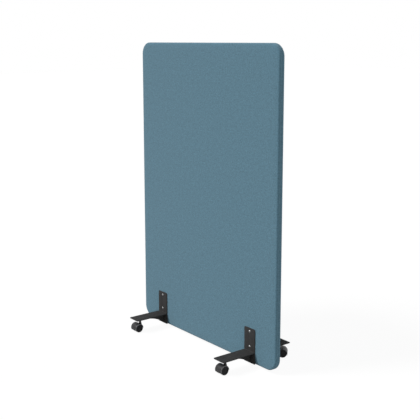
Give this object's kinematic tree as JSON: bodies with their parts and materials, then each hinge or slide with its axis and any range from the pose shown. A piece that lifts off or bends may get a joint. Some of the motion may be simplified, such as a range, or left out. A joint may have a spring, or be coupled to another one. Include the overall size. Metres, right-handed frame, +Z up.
{
  "type": "rolling partition",
  "caption": "Fabric-covered acoustic panel with rounded corners, standing on L-shaped steel feet with hooded twin-wheel swivel casters.",
  "frame": {"origin": "on the floor, under the middle of the panel", "axes": "+X along the panel to its right end seen from the front, -Y towards the front, +Z up"},
  "size_m": [1, 0.3989, 1.413],
  "materials": {
    "cover_fabric": "woven upholstery fabric, blue-grey, matt",
    "foam": "soft foam sheet",
    "softwood": "planed softwood",
    "hardwood": "planed hardwood",
    "acoustic_felt": "pressed felt",
    "black_powder_coat": "satin black powder coat",
    "dark_steel": "blackened steel",
    "bright_steel": "bright plated steel",
    "zinc_steel": "zinc plated steel",
    "black_nylon": "moulded black nylon, satin",
    "wheel_nylon": "moulded dark grey nylon, satin"
  },
  "bodies": {
    "panel": {"front_cover": "cover_fabric", "rear_cover": "cover_fabric", "front_pad": "foam", "rear_pad": "foam", "left_stile": "softwood", "right_stile": "softwood", "top_rail": "softwood", "mid_rail": "softwood", "bottom_rail": "softwood", "left_block": "hardwood", "right_block": "hardwood", "upper_core": "acoustic_felt", "lower_core": "acoustic_felt", "frame_dowels": "softwood", "foot_bracket_fl": "black_powder_coat", "foot_bracket_fr": "black_powder_coat", "foot_bracket_rl": "black_powder_coat", "foot_bracket_rr": "black_powder_coat", "bracket_screws": "bright_steel", "sleeve_nuts": "bright_steel", "spacer_tubes": "zinc_steel", "stem_fl": "dark_steel", "stem_fr": "dark_steel", "stem_rl": "dark_steel", "stem_rr": "dark_steel", "stem_rings": "zinc_steel"},
    "caster_fl": {"hood_fl": "black_nylon", "axle_fl": "zinc_steel"},
    "wheel_fl_left": {"wheel_fl_left": "wheel_nylon"},
    "wheel_fl_right": {"wheel_fl_right": "wheel_nylon"},
    "caster_fr": {"hood_fr": "black_nylon", "axle_fr": "zinc_steel"},
    "wheel_fr_left": {"wheel_fr_left": "wheel_nylon"},
    "wheel_fr_right": {"wheel_fr_right": "wheel_nylon"},
    "caster_rl": {"hood_rl": "black_nylon", "axle_rl": "zinc_steel"},
    "wheel_rl_left": {"wheel_rl_left": "wheel_nylon"},
    "wheel_rl_right": {"wheel_rl_right": "wheel_nylon"},
    "caster_rr": {"hood_rr": "black_nylon", "axle_rr": "zinc_steel"},
    "wheel_rr_left": {"wheel_rr_left": "wheel_nylon"},
    "wheel_rr_right": {"wheel_rr_right": "wheel_nylon"}
  },
  "joints": [
    {"name": "swivel_fl", "type": "hinge", "parent": "panel", "child": "caster_fl", "pos_m": [-0.335, -0.158, 0.05], "axis": [0, 0, 1], "continuous": true},
    {"name": "roll_fl_left", "type": "hinge", "parent": "caster_fl", "child": "wheel_fl_left", "pos_m": [-0.335, -0.175, 0.02], "axis": [1, 0, 0], "continuous": true},
    {"name": "roll_fl_right", "type": "hinge", "parent": "caster_fl", "child": "wheel_fl_right", "pos_m": [-0.335, -0.175, 0.02], "axis": [1, 0, 0], "continuous": true},
    {"name": "swivel_fr", "type": "hinge", "parent": "panel", "child": "caster_fr", "pos_m": [0.335, -0.158, 0.05], "axis": [0, 0, 1], "continuous": true},
    {"name": "roll_fr_left", "type": "hinge", "parent": "caster_fr", "child": "wheel_fr_left", "pos_m": [0.335, -0.175, 0.02], "axis": [1, 0, 0], "continuous": true},
    {"name": "roll_fr_right", "type": "hinge", "parent": "caster_fr", "child": "wheel_fr_right", "pos_m": [0.335, -0.175, 0.02], "axis": [1, 0, 0], "continuous": true},
    {"name": "swivel_rl", "type": "hinge", "parent": "panel", "child": "caster_rl", "pos_m": [-0.335, 0.158, 0.05], "axis": [0, 0, 1], "continuous": true},
    {"name": "roll_rl_left", "type": "hinge", "parent": "caster_rl", "child": "wheel_rl_left", "pos_m": [-0.335, 0.175, 0.02], "axis": [-1, 0, 0], "continuous": true},
    {"name": "roll_rl_right", "type": "hinge", "parent": "caster_rl", "child": "wheel_rl_right", "pos_m": [-0.335, 0.175, 0.02], "axis": [-1, 0, 0], "continuous": true},
    {"name": "swivel_rr", "type": "hinge", "parent": "panel", "child": "caster_rr", "pos_m": [0.335, 0.158, 0.05], "axis": [0, 0, 1], "continuous": true},
    {"name": "roll_rr_left", "type": "hinge", "parent": "caster_rr", "child": "wheel_rr_left", "pos_m": [0.34702, 0.17002, 0.02], "axis": [-0.7071, 0.7071, 0], "continuous": true},
    {"name": "roll_rr_right", "type": "hinge", "parent": "caster_rr", "child": "wheel_rr_right", "pos_m": [0.34702, 0.17002, 0.02], "axis": [-0.7071, 0.7071, 0], "continuous": true}
  ]
}
